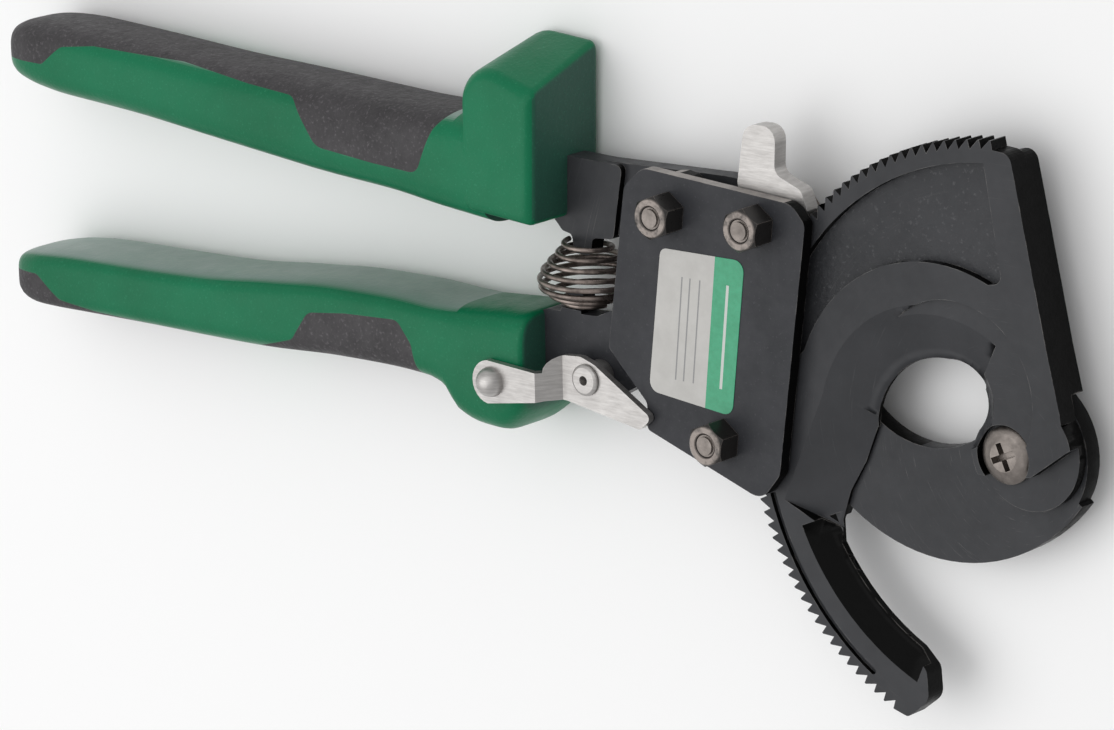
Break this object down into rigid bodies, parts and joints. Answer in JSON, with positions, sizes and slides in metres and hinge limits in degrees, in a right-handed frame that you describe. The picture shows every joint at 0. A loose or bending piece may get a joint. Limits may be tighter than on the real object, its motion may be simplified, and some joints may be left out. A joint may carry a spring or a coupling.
{
  "type": "ratchet cable cutter",
  "caption": "One-hand ratchet cable cutter: toothed hook blade turning in a plated housing, fixed hook blade, squeeze lever with pawl, release lever, handle latch and moulded grips.",
  "frame": {"origin": "centre of the bounding box in X and Y, at its lowest point in Z (the backs of the two grips)", "axes": "+X from the grips towards the jaws, +Y from the moving grip towards the fixed grip, +Z out of the front plate"},
  "size_m": [0.2518, 0.1101, 0.025],
  "materials": {
    "black_steel": "satin",
    "black_oxide": "satin",
    "bare_steel": "satin",
    "zinc": "satin",
    "spring_wire": "satin",
    "green_plastic": "satin",
    "grey_rubber": "matte",
    "label_film": "satin"
  },
  "bodies": {
    "root": {"fixed_blade_frame": "black_steel", "front_plate": "black_steel", "pivot_nut": "bare_steel", "pivot_washer": "bare_steel", "pivot_screw": "bare_steel", "housing_bolts": "bare_steel", "housing_nuts": "black_oxide", "spacer_sleeves": "bare_steel", "release_spring": "spring_wire", "handle_spring": "spring_wire", "upper_grip": "green_plastic", "upper_inlay": "grey_rubber", "label": "label_film"},
    "blade": {"moving_blade": "black_steel"},
    "lever": {"lever": "black_steel", "lower_grip": "green_plastic", "lower_inlay": "grey_rubber", "lower_end_inlay": "grey_rubber", "pawl_pin": "bare_steel", "pawl_spring": "spring_wire", "latch_rivet": "zinc"},
    "drive_pawl": {"drive_pawl": "bare_steel"},
    "release_lever": {"release_lever": "zinc"},
    "latch": {"latch": "zinc", "latch_button": "zinc"}
  },
  "joints": [
    {"name": "blade_pivot", "type": "hinge", "parent": "root", "child": "blade", "pos_m": [0.11148, -0.00475, 0.01045], "axis": [0, 0, 1], "range_deg": [-95, 58]},
    {"name": "lever_pivot", "type": "hinge", "parent": "root", "child": "lever", "pos_m": [0.04167, 0.02825, 0.01045], "axis": [0, 0, 1], "range_deg": [0, 15], "deforming": ["handle_spring"]},
    {"name": "drive_pawl_pivot", "type": "hinge", "parent": "lever", "child": "drive_pawl", "pos_m": [0.05128, 0.02745, 0.01045], "axis": [0, 0, 1], "range_deg": [-14, 0]},
    {"name": "release_lever_pivot", "type": "hinge", "parent": "root", "child": "release_lever", "pos_m": [0.06148, 0.02885, 0.01045], "axis": [0, 0, 1], "range_deg": [0, 14], "stiffness_Nm_per_rad": 0.02, "springref_deg": -17.19},
    {"name": "latch_pivot", "type": "hinge", "parent": "lever", "child": "latch", "pos_m": [0.02378, -0.00465, 0.01685], "axis": [0, 0, 1], "range_deg": [-40, 0]}
  ],
  "couplings": [
    {"joint": "drive_pawl_pivot", "follows": "lever_pivot", "ratio": -0.9}
  ]
}
